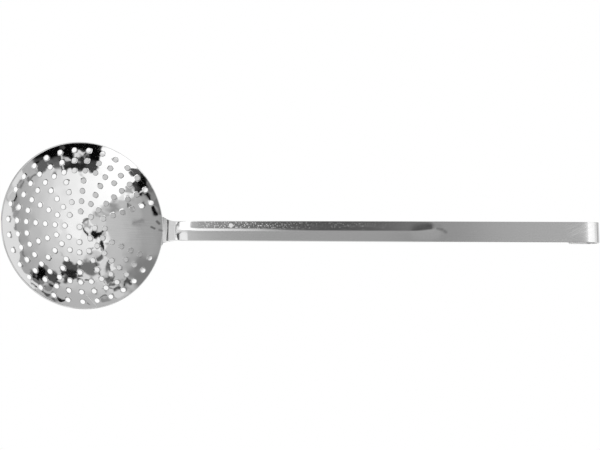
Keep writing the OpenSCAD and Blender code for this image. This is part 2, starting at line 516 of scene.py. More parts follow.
def side_line():
    """The strip's base line as steps: its length, and how far it turns upwards there."""
    crank = np.arctan2(CRANK_H, CRANK_LEN)
    turns = (-meet_angle, crank, strip_rise - crank)
    straights = (TAB_LEN, hypot(CRANK_LEN, CRANK_H), STRIP_LEN)
    cut = [radius * tan(abs(turn) / 2) for radius, turn in zip(FOLD_RADII, turns)] + [0]
    steps = [(-BLEND_LEN, 0), (BLEND_LEN - cut[0], 0)]
    for i, turn in enumerate(turns):
        steps.append((FOLD_RADII[i] * abs(turn), turn))
        steps.append((straights[i] - cut[i] - cut[i + 1], 0))
    steps.append(((LEAD_R - flat_h) * LEAD_TURN, -LEAD_TURN))
    fold = pi + strip_rise - LEAD_TURN
    steps.append(((HOOK_R - flat_h) * fold, -fold))
    steps.append((LEG_LEN, 0))
    return steps


def walk(steps, piece=0.05 * MM):
    """Walks along the steps and notes length, x, z and direction all the way."""
    length, place, angle = steps[0][0], np.zeros(2), meet_angle
    place = place + length * np.array([cos(angle), sin(angle)])
    rows = [(length, *place, angle)]
    for step, turn in steps[1:]:
        count = max(2, ceil(step / piece))
        for _ in range(count):
            angle += turn / count / 2
            place = place + step / count * np.array([cos(angle), sin(angle)])
            angle += turn / count / 2
            length += step / count
            rows.append((length, *place, angle))
    return np.array(rows)


side = walk(side_line())
steps = side_line()
lead_start, hook_start, leg_start, strip_tip = np.cumsum([step for step, turn in steps])[-4:]
strip_start = lead_start - STRIP_LEN
print("length of the strip beyond the tongue, mm:", round(strip_tip / MM, 1))


# %% The trough and the outline
FAR_START = 19 * MM     # length over which the far side of the trough begins
NEAR_START = 11.5 * MM  # and the near side
END_LEN = 30 * MM       # length over which the trough runs out
END_OVER = 3 * MM
LIFT_EARLY = 2.4 * MM   # the strip's floor begins to rise just before its bend


def smooth_least(a, b, blend):
    """The lesser of two heights, with a soft change from one to the other."""
    share = np.clip(0.5 + 0.5 * (b - a) / blend, 0, 1)
    return b + (a - b) * share - blend * share * (1 - share)


def trough_height(along, across):
    """Height of the top face over the frame's trough floor."""
    reach = np.abs(across)
    round_x = FLOOR_R * sin(flank)
    low = flat_h - (STRIP_W / 2 - round_x) * tan(flank)
    floor = low + FLOOR_R * cos(flank) - np.sqrt(FLOOR_R ** 2 - np.minimum(reach, round_x) ** 2)
    sides = low + (reach - round_x) * tan(flank)
    trough = np.where(reach < round_x, floor, sides)
    share = np.clip(along / np.where(across > 0, FAR_START, NEAR_START), 0, 1)
    share = share * share * (3 - 2 * share)
    end = np.clip((along - TROUGH_END - END_OVER) / END_LEN + 1, 0, 1)
    end = end * end * (3 - 2 * end)
    trough = flat_h - (flat_h - trough) * (1 - end)
    return smooth_least(flat_h * np.clip(along / PATCH_LEN, 0, 1), share * trough, 0.12 * MM)


def half_width(along, side=1):
    """The strip's width to one side, at a distance beyond the tongue's meeting line."""
    tip = -TONGUE_LEN
    tongue = np.sqrt(np.maximum(TONGUE_W ** 2 / 4 - np.minimum(along - tip - TONGUE_W / 2, 0) ** 2, 0))
    flare_x = np.clip(along - strip_start, -bend_x, 0)
    flare = np.where(side > 0, 1, NEAR_FLARE) * (flare_r - np.sqrt(flare_r ** 2 - flare_x ** 2)) + NECK_W / 2
    taper = NECK_W / 2 + (STRIP_W - NECK_W) / 2 * np.clip((along - strip_start) / TROUGH_END, 0, 1)
    corner = STRIP_W / 2 - LEG_CORNER + strip_tip - along
    tongue = np.minimum(tongue, np.where(along > -BLEND_LEN, np.where(side > 0, TONGUE_W / 2, tongue), tongue))
    return np.where(along < 0, tongue, np.minimum(np.where(along < strip_start, flare, taper), corner))


# %% [markdown]
# The blank is a grid. Its rows lie close together where the strip will bend, and wide apart
# where it stays straight.

# %% The handle's flat blank
COLUMNS = 40


def stations():
    """Where the blank's rows lie, measured from the tongue's meeting line."""
    tip = -TONGUE_LEN
    rows = [tip + TONGUE_W / 2 * (1 - cos(pi / 2 * i / 24)) for i in range(25)]
    spans = [
        (-6 * MM, 1.5 * MM), (strip_start + PATCH_LEN + RISE_LEN + 2 * MM, 0.35 * MM),
        (strip_start + trough_centre - 2 * MM, 3 * MM), (strip_start + TROUGH_END + 2 * MM, 0.5 * MM),
        (lead_start, 4 * MM), (hook_start, 0.8 * MM), (leg_start, 0.5 * MM),
        (strip_tip - LEG_CORNER, 2 * MM), (strip_tip, 0.5 * MM),
    ]
    for end, gap in spans:
        start = rows[-1]
        count = max(1, ceil((end - start) / gap))
        rows += [start + (end - start) * (i + 1) / count for i in range(count)]
    return np.array(rows)


rows = stations()
bpy.ops.mesh.primitive_grid_add(x_subdivisions=len(rows) - 1, y_subdivisions=COLUMNS, size=2)
handle = bpy.context.object
handle.name = handle.data.name = "handle_strip"
points = points_of(handle)
order = np.rint((points[:, 0] + 1) / 2 * (len(rows) - 1)).astype(int)
points[:, 0] = rows[order]
points[:, 1] *= half_width(points[:, 0], points[:, 1])
set_points(handle, points)
make_active(handle)
edit(handle)
bpy.ops.mesh.select_all(action="SELECT")
bpy.ops.mesh.remove_doubles(threshold=MERGE_GAP)
leave_edit()
face_upwards(handle)
keep_blank(handle)
print("rows of the blank:", len(rows))


# %% Press and fold the handle
TONGUE_GAP = 0.02 * MM


def bowed(along, across):
    """The folds of the neck are bowed: towards the handle at the tab, away from it at the grip."""
    bow = np.clip(1 - (across / (NECK_W / 2)) ** 2, 0, 1)
    first = np.exp(-((along - TAB_LEN) / (4 * MM)) ** 2)
    second = np.exp(-((along - strip_start) / (4 * MM)) ** 2)
    return along + bow * (FIRST_BOW * -first + SECOND_BOW * second)


FIRST_BOW = 1.0 * MM
SECOND_BOW = 3.4 * MM


def strip_places(along, across):
    length, line_x, line_z, line_angle = side.T
    bow = bowed(along, across) - along
    line_angle = np.interp(along + bow, length, line_angle)
    x, z = np.interp(along, length, line_x), np.interp(along, length, line_z)
    angle = line_angle
    z = np.interp(along + bow, length, side[:, 2]) - bow * np.sin(angle)
    lift = trough_height(along - strip_start + LIFT_EARLY, across)
    lift = np.where(along > lead_start - 10 * MM, flat_h, lift)
    return np.stack([
        meet_x + x - lift * np.sin(angle), across, STRIP_T + z + lift * np.cos(angle)
    ], -1)


def pressed(points):
    """Where the places of the flat blank come to lie."""
    along, across = points[:, 0], points[:, 1]
    ball = on_ball(rim_arc + along, across, np.full(len(points), under_r + TONGUE_GAP))
    share = np.clip(along / BLEND_LEN + 1, 0, 1)[:, None]
    share = share * share * (3 - 2 * share)
    return ball + (strip_places(along, across) - ball) * share


set_points(handle, pressed(points_of(handle)))
apply_modifier(handle, "SOLIDIFY", thickness=STRIP_T, offset=-1, use_even_offset=True)
soften_edges(handle, 0.8 * MM, lambda x, y: 1 if x > leg_start else 0.38, 3)
points = points_of(handle)
points[:, 2] = np.maximum(points[:, 2], 0)
set_points(handle, points)
bpy.ops.object.shade_smooth_by_angle(angle=radians(40))
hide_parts("handle")
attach(handle, "root")
deselect_all()
print("handle triangles:", triangles(handle))

# %% [markdown]
# ## Writing shaders as sums
# A material is a net of nodes. Written out node by node it is long, so a small class wraps
# a socket: adding or multiplying two wrapped sockets adds the Math node that does it.

# %% Sockets that can be added and multiplied
class Wire:
    """An output socket in a node tree, on which the usual signs work."""

    def __init__(self, shop, socket):
        self.shop, self.socket = shop, socket

    def __add__(self, other): return self.shop.maths("ADD", self, other)
    def __radd__(self, other): return self.shop.maths("ADD", other, self)
    def __sub__(self, other): return self.shop.maths("SUBTRACT", self, other)
    def __rsub__(self, other): return self.shop.maths("SUBTRACT", other, self)
    def __mul__(self, other): return self.shop.maths("MULTIPLY", self, other)
    def __rmul__(self, other): return self.shop.maths("MULTIPLY", other, self)
    def __truediv__(self, other): return self.shop.maths("DIVIDE", self, other)
    def __rtruediv__(self, other): return self.shop.maths("DIVIDE", other, self)
    def __pow__(self, other): return self.shop.maths("POWER", self, other)
    def __neg__(self): return self.shop.maths("MULTIPLY", self, -1)


class Shop:
    """Makes the nodes of one material or world."""

    def __init__(self, tree):
        self.tree = tree
        tree.nodes.clear()

    def node(self, kind, inputs=None, out=0, **settings):
        node = self.tree.nodes.new(kind)
        for name, value in settings.items():
            setattr(node, name, value)
        for name, value in (inputs or {}).items():
            if isinstance(value, Wire):
                self.tree.links.new(value.socket, node.inputs[name])
            else:
                node.inputs[name].default_value = value
        return Wire(self, node.outputs[out]) if node.outputs else node

    def maths(self, operation, *values):
        return self.node("ShaderNodeMath", dict(enumerate(values)), operation=operation)

    def least(self, a, b): return self.maths("MINIMUM", a, b)
    def most(self, a, b): return self.maths("MAXIMUM", a, b)

    def step(self, value, low, high, to=(0, 1)):
        """A smooth change of one value into another between two limits."""
        return self.node("ShaderNodeMapRange", {
            "Value": value, "From Min": low, "From Max": high, "To Min": to[0], "To Max": to[1]
        }, interpolation_type="SMOOTHSTEP")

    def blend(self, share, a, b):
        """From one value to another by a share."""
        return self.node("ShaderNodeMix", {0: share, 2: a, 3: b})

    def vectors(self, operation, *values, out=0):
        return self.node("ShaderNodeVectorMath", dict(enumerate(values)), out=out, operation=operation)

    def axes(self, vector):
        split = self.node("ShaderNodeSeparateXYZ", {0: vector}).socket.node
        return [Wire(self, socket) for socket in split.outputs]

    def vector(self, x, y, z=0.0):
        return self.node("ShaderNodeCombineXYZ", {0: x, 1: y, 2: z})

    def noise(self, vector, scale, detail=2.0, rough=0.5, **more):
        return self.node("ShaderNodeTexNoise", {
            "Vector": vector, "Scale": scale, "Detail": detail, "Roughness": rough, **more})

    def grey(self, value):
        return self.node("ShaderNodeCombineColor", {0: value, 1: value, 2: value})


def new_material(name):
    material = bpy.data.materials.new(name)
    material.use_nodes = True
    return material, Shop(material.node_tree)


print("wires and shop ready")

# %% [markdown]
# ## The studio
# A polished bowl shows the room in which it is photographed. Rays that leave a mirror meet
# the studio by their direction only: a large soft light in front of the bowl, a grey ceiling
# and some dark things between them. Matt things get one plain, even light from the world.

# %% Directions as a flat map
world = bpy.data.worlds.new("studio")
world.use_nodes = True
bpy.context.scene.world = world
sky = Shop(world.node_tree)


def flat_map(shop):
    """The degrees from straight up, split along X and Y."""
    x, y, z = shop.axes(shop.node("ShaderNodeTexCoord", out=0))
    from_top = shop.maths("DEGREES", shop.maths("ARCCOSINE", z))
    level = shop.most(shop.maths("SQRT", x * x + y * y), 0.0001)
    return from_top * x / level, from_top * y / level, from_top


def near_line(shop, spot, start, end, reach, soft):
    """1 within a reach of a line on the map, and 0 farther out."""
    way = Vector((end[0] - start[0], end[1] - start[1], 0))
    off = shop.vectors("SUBTRACT", spot, (*start, 0))
    along = shop.node("ShaderNodeClamp", {0: shop.vectors("DOT_PRODUCT", off, way / way.length_squared, out=1)})
    nearest = shop.node("ShaderNodeVectorMath", {0: way, "Scale": along}, operation="SCALE")
    gap = shop.vectors("DISTANCE", off, nearest, out=1)
    return shop.step(gap, reach - soft, reach + soft, (1, 0))


def beyond_line(shop, u, v, start, end, soft):
    """1 to the left of a line on the map, seen from its start to its end, and 0 to the right."""
    (u0, v0), (u1, v1) = start, end
    size = hypot(u1 - u0, v1 - v0)
    gap = ((v - v0) * (u1 - u0) - (u - u0) * (v1 - v0)) * (1 / size)
    return shop.step(gap, -soft, soft)


def tone(value, metal=0.72):
    """Brightness at which the metal shows a tone of 0 to 255."""
    share = value / 255
    linear = share / 12.92 if share < 0.04045 else ((share + 0.055) / 1.055) ** 2.4
    return linear / metal


def through(shop, value, points):
    """Goes in straight lines through a row of points."""
    total = points[0][1]
    for (start, level0), (end, level1) in zip(points, points[1:]):
        total = shop.step(value, start, end, (0, level1 - level0)) + total
    return total


def in_steps(shop, value, steps):
    """Goes through a row of tones."""
    return through(shop, value, [(place, tone(shown)) for place, shown in steps])


# %% The soft light and the ceiling
u, v, from_top = flat_map(sky)
flat = sky.vector(u, v)
SWAY = 1.4      # degrees by which the borders of the things in the room sway
u = u + (sky.noise(flat, 0.3, 1) - 0.5) * SWAY
v = v + (sky.noise(sky.vector(u + 50, v), 0.3, 1) - 0.5) * SWAY
spot = sky.vector(u, v)

LIGHT_STEPS = (
    (38, 264), (43, 252), (47, 248), (52, 244), (57, 240), (62, 235), (67, 228), (72, 216),
    (77, 206), (82, 196), (88, 175), (93, 168), (96, 150),
)
CEILING_STEPS = (
    (-11.5, 176), (-9, 153), (-5, 147), (2, 146), (7.8, 135), (11, 154), (13.5, 159), (20, 158), (26, 175), (33, 186), (40, 190),
)

light = in_steps(sky, u, LIGHT_STEPS) * sky.step(v, -15, 25, (1.02, 0.88)) * sky.step(v, 18, 34, (1, 0.82))
ceiling = sky.blend(sky.step(v, 16, 28) * sky.step(u, 31, 20) * sky.step(u, 5, 9), in_steps(sky, u, CEILING_STEPS), tone(124))
above = beyond_line(sky, u, v, (28, -13), (52, -1.5), 2.2)
before = sky.step(u, 40.5, 38.5)
beside = sky.step(v, 10.5, 9.5) * sky.step(u, 51, 48)
studio = sky.blend(above * sky.most(before, beside), light, ceiling)
upper = sky.step(v, 40, 42) * sky.step(u, 82, 74) * sky.step(u, 18, 28)
studio = sky.blend(upper, studio, sky.step(v, 45, 52, (tone(198), tone(178))))

# %% The things between the light and the ceiling
# Each is a line on the map with its reach, its softness and its tone. Later ones cover
# earlier ones.
THINGS_BELOW = (
    ((42, 7.5), (47, 4), 3.2, 1.0, 204), ((44, 1.5), (48, 1), 2.0, 1.0, 200),
    ((26, -2), (29, -6), 2.0, 1.2, 174), ((31.5, -3), (33, -3), 1.8, 0.5, 192),
    ((36, -6.5), (41, -6.5), 1.6, 1.6, 142), ((41.5, -2), (43, -2.5), 1.0, 0.8, 165),
    ((46.5, -0.3), (48, -1.5), 0.9, 0.6, 158), ((22, -12), (26, -12), 1.8, 0.6, 168),
    ((27, -14), (33, -12), 1.7, 1.4, 222), ((26, -17), (31, -17), 1.0, 0.9, 160),
    ((28, -9), (30, -7.8), 0.7, 0.5, 80), ((21.5, -15.8), (22.2, -17.3), 0.8, 0.6, 235),
    ((16.5, -18), (23.5, -20.5), 2.1, 0.6, 4), ((18, -20.5), (21, -26), 2.2, 0.7, 4),
    ((15, -17.5), (16.5, -20.5), 1.3, 0.6, 42),
    ((24, -18), (26.5, -19.8), 1.4, 0.9, 65), ((24, -23), (25, -25), 1.3, 0.6, 160),
    ((22.5, -28.4), (26, -29), 1.7, 0.9, 74), ((13, -3.6), (14.4, -7.2), 1.4, 0.6, 4),
    ((15.8, -9), (16.8, -10.5), 1.3, 0.5, 92), ((16, -12.2), (19.6, -15), 1.3, 0.6, 5),
    ((13.2, -20.4), (14.8, -22.6), 1.3, 0.6, 22), ((27.4, -27), (28, -27.8), 1.1, 0.6, 60),
    ((10, -5), (11, -12), 1.6, 0.8, 112),
    ((21.5, 1.8), (26.4, 2.4), 1.1, 0.8, 100), ((30.5, 17.5), (33, 17.5), 1.4, 0.5, 196),
    ((37, 14), (39.5, 16), 0.9, 0.6, 160), ((41.6, 19), (42.8, 15.6), 1.4, 0.5, 30),
    ((44.4, 18.3), (46, 18.3), 1.6, 0.4, 152), ((41.6, 12.6), (43, 13), 1.5, 0.6, 192),
    ((44, 11), (48.6, 12), 1.5, 0.5, 18), ((47, 13), (49.2, 10), 1.7, 0.5, 16),
    ((49.5, 11.2), (53.8, 10), 0.9, 0.5, 52), ((51, 8), (53.5, 4.5), 0.5, 0.4, 165),
    ((53.7, 3.4), (55.2, 3.8), 1.4, 0.6, 112), ((39, 8.2), (41.5, 10.4), 0.8, 0.5, 138),
    ((44.8, -24.5), (45.2, -25), 0.5, 0.4, 100), ((41.4, -29.2), (42.2, -29.8), 0.6, 0.4, 85),
    ((37.5, -35), (39, -36), 0.9, 0.7, 115),
)
THINGS_ABOVE = (
    ((40.6, 27), (40.8, 35), 1.1, 0.7, 212), ((44.5, 37.5), (49, 36.8), 1.5, 1.0, 216),
    ((45, 25), (48, 27.5), 3.4, 1.0, 200), ((43, 24.6), (46.5, 27), 1.6, 0.8, 95),
    ((46.5, 27.8), (48.6, 28), 1.0, 0.5, 140), ((46, 32), (52, 32.5), 3.8, 1.0, 112),
    ((54, 31), (57, 33.5), 2.6, 0.9, 84), ((56, 35), (61, 34), 3.6, 0.8, 76),
    ((56, 38), (61.5, 37.6), 1.9, 0.7, 32), ((43.3, 34.3), (44.6, 33.6), 1.7, 0.4, 132),
    ((53.5, 31.8), (55.5, 32.2), 0.9, 0.6, 150), ((44.2, 30.6), (45.8, 30), 0.6, 0.4, 66),
    ((50.3, 39.7), (53.6, 39.8), 0.9, 0.5, 82), ((57, 41.2), (62, 41.6), 0.8, 0.6, 95),
    ((45.6, 41.5), (47, 41.5), 1.7, 0.5, 140), ((43.7, 40.9), (44.1, 39.7), 0.6, 0.4, 35),
    ((34.6, 37.6), (37.3, 38), 1.0, 0.5, 82), ((38.2, 39), (39, 37.6), 0.8, 0.5, 208),
    ((38.4, 37), (40.2, 35.8), 0.5, 0.4, 105), ((42.5, 36.2), (43.2, 35.3), 0.6, 0.3, 58),
    ((35.4, 30.7), (37, 31.4), 1.3, 0.5, 228), ((38.1, 33), (38.6, 29), 0.5, 0.3, 88),
    ((35.5, 26.5), (38, 26.5), 1.6, 0.5, 186), ((27.8, 33.4), (28.3, 35), 1.9, 0.5, 118),
    ((31.6, 39.6), (33.6, 39), 2.0, 0.5, 112), ((32, 37.6), (34, 37.9), 0.4, 0.3, 190),
    ((25.7, 42.6), (26.3, 41), 0.7, 0.5, 45), ((26.3, 40), (27, 38), 0.9, 0.6, 76),
    ((22.5, 38), (24, 38), 1.6, 0.5, 146), ((27.5, 43.6), (29, 44), 1.7, 0.5, 128),
    ((28.5, 47), (33.5, 46), 1.3, 0.8, 206), ((31, 43.2), (33, 44), 0.9, 0.5, 66),
    ((36.8, 43.3), (38, 43.6), 1.7, 0.5, 108), ((35, 40.9), (38.4, 40.7), 0.8, 0.4, 82),
    ((30.8, 49.3), (34, 47.5), 0.4, 0.3, 118), ((38.3, 53), (39.9, 51.1), 0.5, 0.4, 45),
    ((41, 52.6), (42.5, 53), 1.6, 0.5, 158), ((41.3, 46.2), (42.6, 44.7), 0.5, 0.4, 76),
    ((43, 46.8), (44.3, 46.8), 1.4, 0.5, 156), ((46.3, 56), (47.5, 54.5), 0.6, 0.5, 120),
    ((58, 46.9), (60, 48.2), 0.5, 0.4, 125), ((59, 54.2), (61, 55.4), 0.6, 0.4, 60),
    ((56.6, 55.8), (58.8, 56.3), 1.2, 0.5, 206), ((61.2, 56.4), (63.8, 57), 1.2, 0.5, 5),
    ((65.2, 56), (67.8, 56.9), 0.9, 0.6, 105), ((40.6, 51.4), (42, 52), 0.8, 0.5, 70),
    ((35.2, 50.8), (37.6, 52.2), 1.4, 0.5, 138), ((37.2, 49), (38.8, 49.8), 0.6, 0.4, 104),
)
THINGS_LEFT = (
    ((64, 41.5), (78.5, 43.5), 3.6, 1.0, 74), ((67, 46.5), (69, 49.5), 2.0, 0.7, 38),
    ((74, 47.8), (80, 49), 1.8, 0.8, 108), ((79, 43), (81.5, 43), 2.0, 1.2, 104),
    ((65, 39.5), (67.8, 40.2), 1.9, 0.6, 14), ((70.3, 39), (71.8, 39.4), 1.8, 0.4, 118),
    ((74.2, 36), (75.5, 40), 1.3, 0.6, 5), ((75.5, 40), (76, 45.5), 1.5, 0.6, 4),
    ((77, 46), (79.5, 44.6), 0.8, 0.6, 20), ((72.4, 46), (73.6, 46), 2.1, 0.4, 125),
    ((72.8, 43.6), (74, 43.9), 0.7, 0.5, 185), ((65, 52.5), (67, 54), 1.8, 0.8, 168),
    ((70, 52), (71.5, 51.6), 1.4, 0.4, 135), ((74, 52.6), (79.5, 51), 1.8, 0.8, 218),
    ((66, 58.3), (84, 51.6), 0.9, 0.5, 72), ((87, 34), (89.5, 31), 0.8, 0.6, 118),
    ((90.5, 27.5), (93, 24), 0.7, 0.5, 126), ((94.6, 18.5), (94.9, 13.5), 0.7, 0.5, 135),
    ((96.2, 9.5), (96.5, 3.5), 0.6, 0.5, 142), ((96.5, -1.5), (96.7, -4.2), 0.8, 0.5, 20),
    ((92.2, -14), (93.6, -10.5), 0.5, 0.35, 98), ((93.5, -15), (98, -12), 0.5, 0.35, 98),
    ((85.5, -22), (89.6, -16.3), 0.8, 0.6, 116), ((66.6, 26.3), (69.5, 26.8), 0.4, 0.3, 178),
)


def paint(shop, spot, picture, things):
    for start, end, reach, soft, shown in things:
        picture = shop.blend(near_line(shop, spot, start, end, reach, soft), picture, tone(shown))
    return picture


studio = paint(sky, spot, studio, THINGS_BELOW + THINGS_ABOVE + THINGS_LEFT)

# %% The dark end of the room, below the soft light
THINGS_IN_THE_DARK = (
    ((51, -30), (54, -34), 2.5, 1.5, 62), ((57, -30), (66, -29), 1.5, 1.2, 36),
    ((73, -28.5), (78, -29), 1.8, 1.0, 98), ((81, -26.5), (84, -28), 2.2, 1.0, 92),
    ((86, -25), (88, -25), 1.6, 0.6, 160), ((53.5, -32), (56, -32.3), 0.8, 0.7, 140),
    ((53, -35.5), (56, -35.4), 0.5, 0.4, 125), ((52.5, -37.5), (54.6, -38.6), 0.9, 0.8, 100),
    ((61.8, -32), (62.6, -34), 1.3, 0.5, 96), ((61.2, -38.4), (62.6, -39.6), 1.3, 0.6, 118),
    ((57.4, -36.8), (60, -39.4), 1.1, 0.5, 222), ((64.2, -35), (66, -33.6), 0.7, 0.5, 190),
    ((66, -33.4), (69.4, -34), 0.9, 0.6, 196), ((68.4, -28.4), (71.4, -29.6), 0.8, 0.6, 210),
    ((78.6, -30), (80.6, -32), 0.8, 0.6, 206), ((70, -35.5), (72.6, -37), 0.8, 0.7, 104),
    ((66, -42.5), (70, -42.2), 0.5, 0.4, 70), ((82.5, -31.5), (83.5, -32), 0.8, 0.6, 8),
)
edge = sky.step(beyond_line(sky, u, v, (49.5, -26), (44.5, -42), 0.9), 0, 1)
room = sky.step(v, -25.6, -27.6) * edge * sky.step(u + v * 0.5, 76, 70)
studio = sky.blend(room, studio, sky.step(v, -31, -36, (tone(62), tone(6))) + sky.step(u, 67, 74) * sky.step(v, -34, -30) * 0.08)
studio = sky.blend(room * sky.step(u, 63, 66) * sky.step(v, -32, -35), studio, tone(4))
studio = paint(sky, spot, studio, THINGS_IN_THE_DARK)

# %% What only the handle sees
NEAR_STEPS = ((-11, 165), (-8.2, 112), (-5.5, 84), (-3, 72), (1, 76), (6.4, 112))
near_limit = sky.step(u, -7, -3, (-12, 0)) - sky.step(u, 7, 9, (0, 13))
near_side = sky.step((v - near_limit) * sky.step(u, 3, 6, (1, 0.25)), 2, -2) * sky.step(u, 19, 16) * sky.step(v, -60, -40)
studio = sky.blend(near_side, studio, in_steps(sky, u, NEAR_STEPS))
leg_light = sky.step(u, 3, 1) * sky.step(v, -23, -24.6)
studio = sky.blend(leg_light, studio, tone(226))
left_fade = sky.node("ShaderNodeClamp", {0: (-3.8 - u) * 0.11})
left_light = left_fade * sky.step(v, -15, -11) * sky.step(v, 7, 5)
studio = sky.blend(left_light, studio, tone(262))
left_soft = sky.step(u, -11.8, -13) * sky.step(v, 5.5, 7) * sky.step(v, 35, 31)
studio = sky.blend(left_soft, studio, tone(226))
left_dark = sky.step(u, -13.5, -15.5) * sky.step(u, -37, -34) * sky.step(v, 3.8, 6) * sky.step(v, 14.5, 11.5)
studio = sky.blend(left_dark, studio, tone(52))
left_grey = sky.step(u, -34, -37) * sky.step(u, -46, -43) * sky.step(v, 0, 3)
studio = sky.blend(left_grey, studio, tone(198) + (sky.noise(flat, 0.9, 2) - 0.5) * 0.3)
studio = sky.blend(sky.step(u, -43, -46), studio, tone(240))

# The room's walls, which only views from the side show
walls = sky.most(sky.step(from_top, 52, 74) * sky.step(u, 36, 16), sky.step(v, -40, -50) * sky.step(u, 44, 30))
wall_tone = 0.30 + sky.noise(spot, 0.03, 1) * 0.35 + sky.step(from_top, 92, 84) * 0.12
studio = sky.blend(walls, studio, wall_tone)

# %% One light for mirrors, one for matt things and white for the camera
path = world.node_tree.nodes.new("ShaderNodeLightPath")
is_camera = Wire(sky, path.outputs["Is Camera Ray"])
is_glossy = Wire(sky, path.outputs["Is Glossy Ray"])
plain = 1.0
strength = sky.blend(is_glossy * (1 - is_camera), plain, studio)
background = sky.node("ShaderNodeBackground", {"Color": sky.grey(strength)})
sky.node("ShaderNodeOutputWorld", {"Surface": background})
print("nodes of the studio:", len(world.node_tree.nodes))

# %% [markdown]
# ## The floor
# The photo has a white ground. The floor gives that white to the camera and to the mirrors,
# and it keeps a soft shadow where the object covers most of its light. It ends just beyond
# the hook, as a sheet of paper on a table does, and the bowl's far rim shows that edge.

# %% A pale floor
FLOOR_X = (-0.9, 0.36)
FLOOR_Y = (-0.8, 0.8)
SHADOW_STEPS = ((0.22, 0.24), (0.29, 0.50), (0.35, 0.68), (0.43, 0.78), (0.50, 0.94), (0.56, 1))
BOWL_SHADOW = (-0.206, 0.005)     # middle of the darker part of the shadow

bpy.ops.mesh.primitive_plane_add(size=1)
floor = bpy.context.object
floor.name = "floor"
floor.data.transform(Matrix.Translation((sum(FLOOR_X) / 2, sum(FLOOR_Y) / 2, 0)) @ Matrix.Diagonal(
    (FLOOR_X[1] - FLOOR_X[0], FLOOR_Y[1] - FLOOR_Y[0], 1, 1)))
paper, shop = new_material("white_paper")
matt = shop.node("ShaderNodeBsdfDiffuse", {"Color": (0.92, 0.92, 0.92, 1)})
open_sky = shop.node("ShaderNodeAmbientOcclusion", {"Distance": 0.1}, out=1, samples=16)
x, y, z = shop.axes(shop.node("ShaderNodeTexCoord", out=3))
path = paper.node_tree.nodes.new("ShaderNodeLightPath")
seen = [Wire(shop, path.outputs[name]) for name in ("Is Camera Ray", "Is Glossy Ray", "Is Transmission Ray")]
# The floor's glow is darkened by its share of open sky: a painted shadow.
soft_shadow = through(shop, open_sky, SHADOW_STEPS)
from_bowl = shop.vectors("DISTANCE", shop.vector(x, y), (*BOWL_SHADOW, 0), out=1)
# A darker patch under the bowl, placed by position: more painted shadow.
inner = shop.step(from_bowl, 0.072, 0.064) * shop.step(x, -0.230, -0.206) * shop.step(y, 0.002, 0.02)
inner = inner * shop.step(open_sky, 0.82, 0.75)
soft_shadow = shop.blend(inner, soft_shadow, shop.least(soft_shadow * 0.88, 0.57))
# A small bright streak under the bowl's edge, and white beyond the bowl: a painted glint.
painted_glint = near_line(shop, shop.vector(x, y), (-0.154, 0.021), (-0.147, 0.034), 0.0065, 0.003)
soft_shadow = shop.blend(shop.most(painted_glint, shop.step(from_bowl, 0.0655, 0.0685)), soft_shadow, 1.0)
# Mirrors see the floor darker near the object, by its share of open sky: painted shade.
shade = shop.blend(seen[1], soft_shadow, shop.step(open_sky, 0.3, 0.95, (0.25, 1)))
glow = shop.node("ShaderNodeEmission", {"Color": shop.grey(shade)})
share = shop.most(shop.most(seen[0], seen[1]), seen[2])
both = shop.node("ShaderNodeMixShader", {0: share, 1: matt, 2: glow})
shop.node("ShaderNodeOutputMaterial", {"Surface": both})
floor.data.materials.append(paper)
floor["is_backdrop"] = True
deselect_all()
print("floor:", floor.name)

# %% [markdown]
# The studio's lights are not endlessly far away. The hook sees the large soft light much
# more from below than the bowl does, so a small card stands in for it there. It shows only
# in mirrors and gives no light of its own.

# %% A card for the hook
CARD_X = (0.362, 0.70)
CARD_Y = (-0.02, 0.15)
CARD_Z = 0.415
bpy.ops.mesh.primitive_plane_add(size=1)
card = bpy.context.object
card.name = "soft_light_card"
card.data.transform(Matrix.Translation((sum(CARD_X) / 2, sum(CARD_Y) / 2, CARD_Z)) @ Matrix.Diagonal(
    (CARD_X[1] - CARD_X[0], CARD_Y[1] - CARD_Y[0], 1, 1)))
card.visible_camera = card.visible_diffuse = card.visible_shadow = False
lit, shop = new_material("soft_light")
card_x, _, _ = shop.axes(shop.node("ShaderNodeTexCoord", out=3))
glow = shop.node("ShaderNodeEmission", {"Color": shop.grey(shop.step(card_x, *CARD_X, (1.25, 1.10)))})
shop.node("ShaderNodeOutputMaterial", {"Surface": glow})
card.data.materials.append(lit)
card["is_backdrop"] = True
deselect_all()
print("card:", card.name)

# %% [markdown]
# ## Polished steel
# The bowl is a mirror with small flaws. Its roughness changes in soft clouds, where hands
# and cloths have been, and it has two hair-thin scratches.

# %% The bowl's material
def set_material(thing, material):
    thing.data.materials.clear()
    thing.data.materials.append(material)


polished, shop = new_material("polished_steel")
blank = shop.node("ShaderNodeAttribute", out=1, attribute_name="blank")
x, y, z = shop.axes(blank)
place = shop.node("ShaderNodeTexCoord", out=3)
clouds = shop.noise(place, 60, 3)
fine = shop.noise(place, 900, 2)
lines = shop.noise(shop.vector(x * 30, y * 1600), 1.0, 2)
lip = shop.node("ShaderNodeAttribute", out=2, attribute_name="lip")
scratch = shop.most(
    near_line(shop, shop.vector(x, y), (0.0033, -0.0590), (0.0120, -0.0700), 0.00022, 0.0001),
    near_line(shop, shop.vector(x, y), (0.0078, -0.0620), (0.0112, -0.0692), 0.00018, 0.0001))
smudge = shop.most(
    near_line(shop, shop.vector(x, y), (0.0665, 0.0084), (0.0684, 0.0066), 0.0011, 0.0008),
    near_line(shop, shop.vector(x, y), (0.0618, 0.0032), (0.0645, 0.0020), 0.0009, 0.0007))
smudge = shop.most(smudge, 0.55 * near_line(
    shop, shop.vector(x, y), (0.0688, 0.0008), (0.0712, 0.0002), 0.0009, 0.0007))
over_weld = shop.step(x, 0.018, 0.034) * shop.step(y * y, 0.00022, 0.00012)
